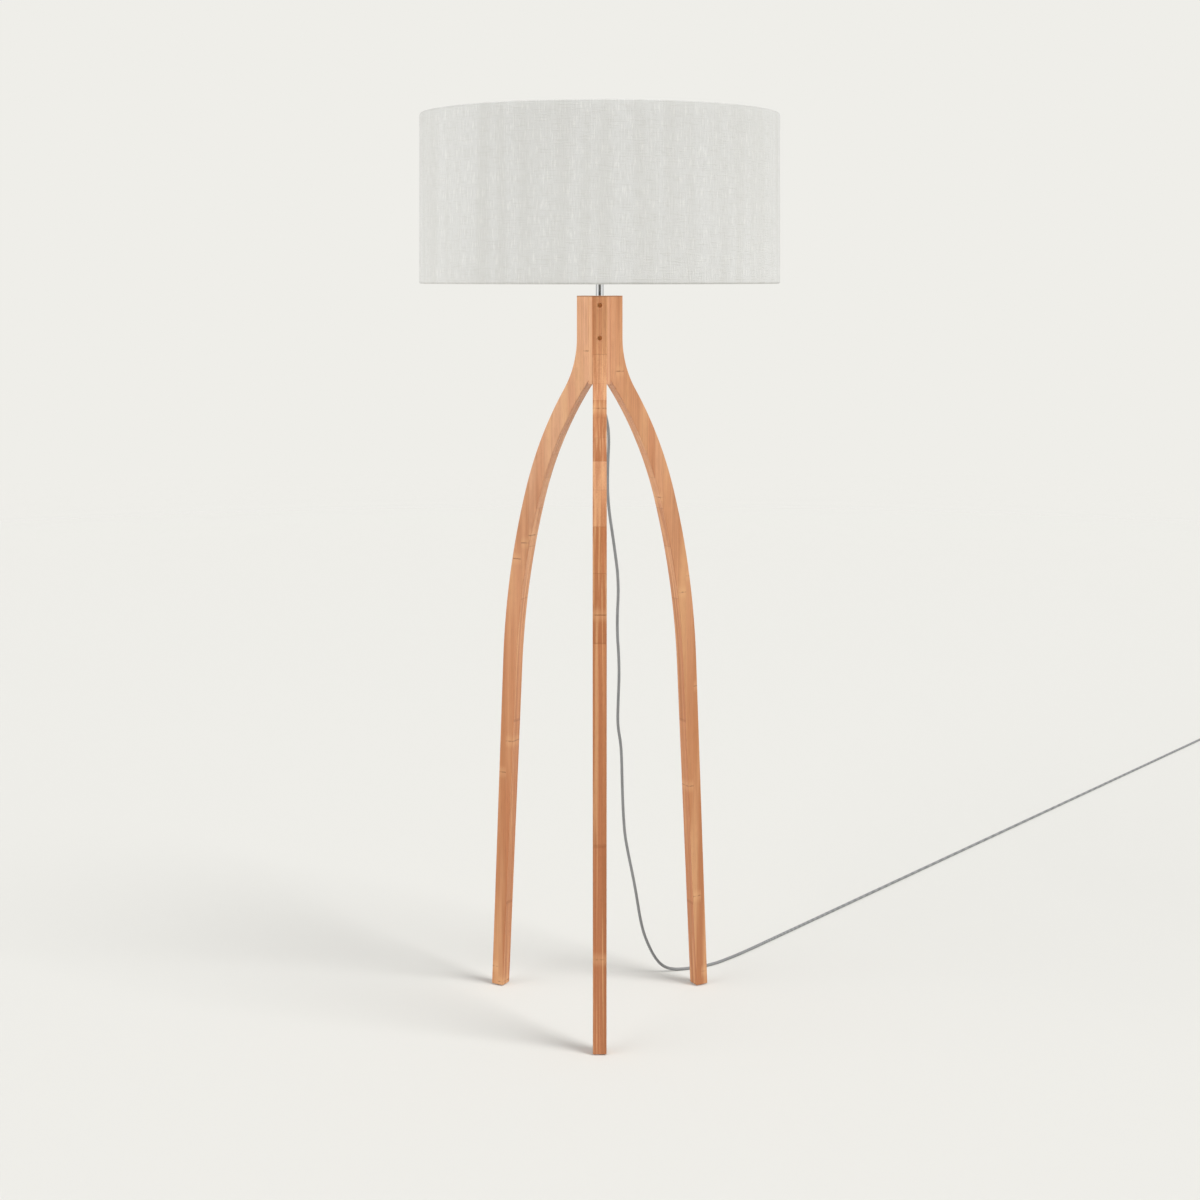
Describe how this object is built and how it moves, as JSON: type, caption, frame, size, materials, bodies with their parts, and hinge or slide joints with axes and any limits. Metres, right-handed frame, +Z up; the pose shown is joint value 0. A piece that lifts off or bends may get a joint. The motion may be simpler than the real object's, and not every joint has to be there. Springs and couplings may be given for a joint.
{
  "type": "floor lamp",
  "caption": "Tripod floor lamp: curved laminated bamboo legs bolted to a slim core, wide linen drum shade on a screw lamp holder, textile mains cord with plug.",
  "frame": {"origin": "on the floor under the shade's axis", "axes": "+Z up; the front leg points to -Y, the rear legs to 30 and 150 degrees from +X"},
  "size_m": [2.0504, 2.2929, 1.4843],
  "materials": {
    "bamboo_legs": "satin lacquered laminated bamboo, vertical grain with nodes",
    "bamboo_core": "satin lacquered laminated bamboo",
    "bronzed_bolts": "dark bronzed",
    "zinc_steel": "zinc plated",
    "chrome_sleeve": "polished",
    "glide_felt": "dark, matt",
    "boot_rubber": "soft, matt",
    "cord_textile": "braided grey textile sleeve",
    "conductor_pvc": "coloured PVC insulation",
    "plug_plastic": "moulded, fine satin",
    "plug_nickel": "nickel plated",
    "holder_black": "moulded thermoplastic",
    "knob_black": "moulded, polished",
    "holder_ceramic": "white glazed insulator",
    "contact_brass": "bare",
    "shaft_steel": "bare",
    "linen": "slubbed woven linen",
    "shade_lining": "white translucent sheet",
    "shade_wire": "white powder coat",
    "bulb_diffuser": "frosted",
    "bulb_white": "moulded",
    "bulb_metal": "rolled",
    "bulb_black_glass": "vitreous",
    "bulb_tip": "soldered",
    "led_aluminium": "white solder resist",
    "led_phosphor": "phosphor",
    "driver_green": "circuit board"
  },
  "bodies": {
    "stand": {"leg_front": "bamboo_legs", "leg_rear_right": "bamboo_legs", "leg_rear_left": "bamboo_legs", "hub_core": "bamboo_core", "leg_bolts": "bronzed_bolts", "threaded_inserts": "zinc_steel", "foot_glides": "glide_felt", "threaded_tube": "zinc_steel", "tube_sleeve": "chrome_sleeve", "tube_washer": "zinc_steel", "tube_nut": "zinc_steel", "holder_locknut": "zinc_steel", "holder_cap": "holder_black", "holder_body": "holder_black", "holder_insert": "holder_ceramic", "screw_shell": "contact_brass", "centre_contact": "contact_brass", "terminal_screws": "zinc_steel", "switch_block": "holder_black", "mains_cord": "cord_textile", "cord_boot": "boot_rubber", "inner_lead": "cord_textile", "conductors": "conductor_pvc", "plug_relief": "plug_plastic", "plug_body": "plug_plastic", "plug_pins": "plug_nickel"},
    "knob": {"switch_shaft": "shaft_steel", "switch_knob": "knob_black"},
    "shade": {"shade_linen": "linen", "shade_liner": "shade_lining", "shade_top_wire": "shade_wire", "shade_bottom_wire": "shade_wire", "spider_arms": "shade_wire", "spider_washer": "shade_wire"},
    "ring": {"shade_ring_nut": "holder_black"},
    "bulb": {"bulb_contact": "bulb_tip", "bulb_insulator": "bulb_black_glass", "bulb_screw_cap": "bulb_metal", "bulb_housing": "bulb_white", "bulb_globe": "bulb_diffuser", "led_board": "led_aluminium", "led_chips": "led_phosphor", "bulb_driver": "driver_green"}
  },
  "joints": [
    {"name": "shade_turn", "type": "hinge", "parent": "stand", "child": "shade", "pos_m": [0, 0, 1.2321], "axis": [0, 0, 1], "continuous": true},
    {"name": "ring_turn", "type": "hinge", "parent": "stand", "child": "ring", "pos_m": [0, 0, 1.2386], "axis": [0, 0, 1], "continuous": true},
    {"name": "bulb_out", "type": "slide", "parent": "stand", "child": "bulb", "axis": [0, 0, 1], "range_m": [0, 0.028]},
    {"name": "switch_turn", "type": "hinge", "parent": "stand", "child": "knob", "pos_m": [0.0277, 0, 1.2175], "axis": [1, 0, 0], "continuous": true}
  ]
}
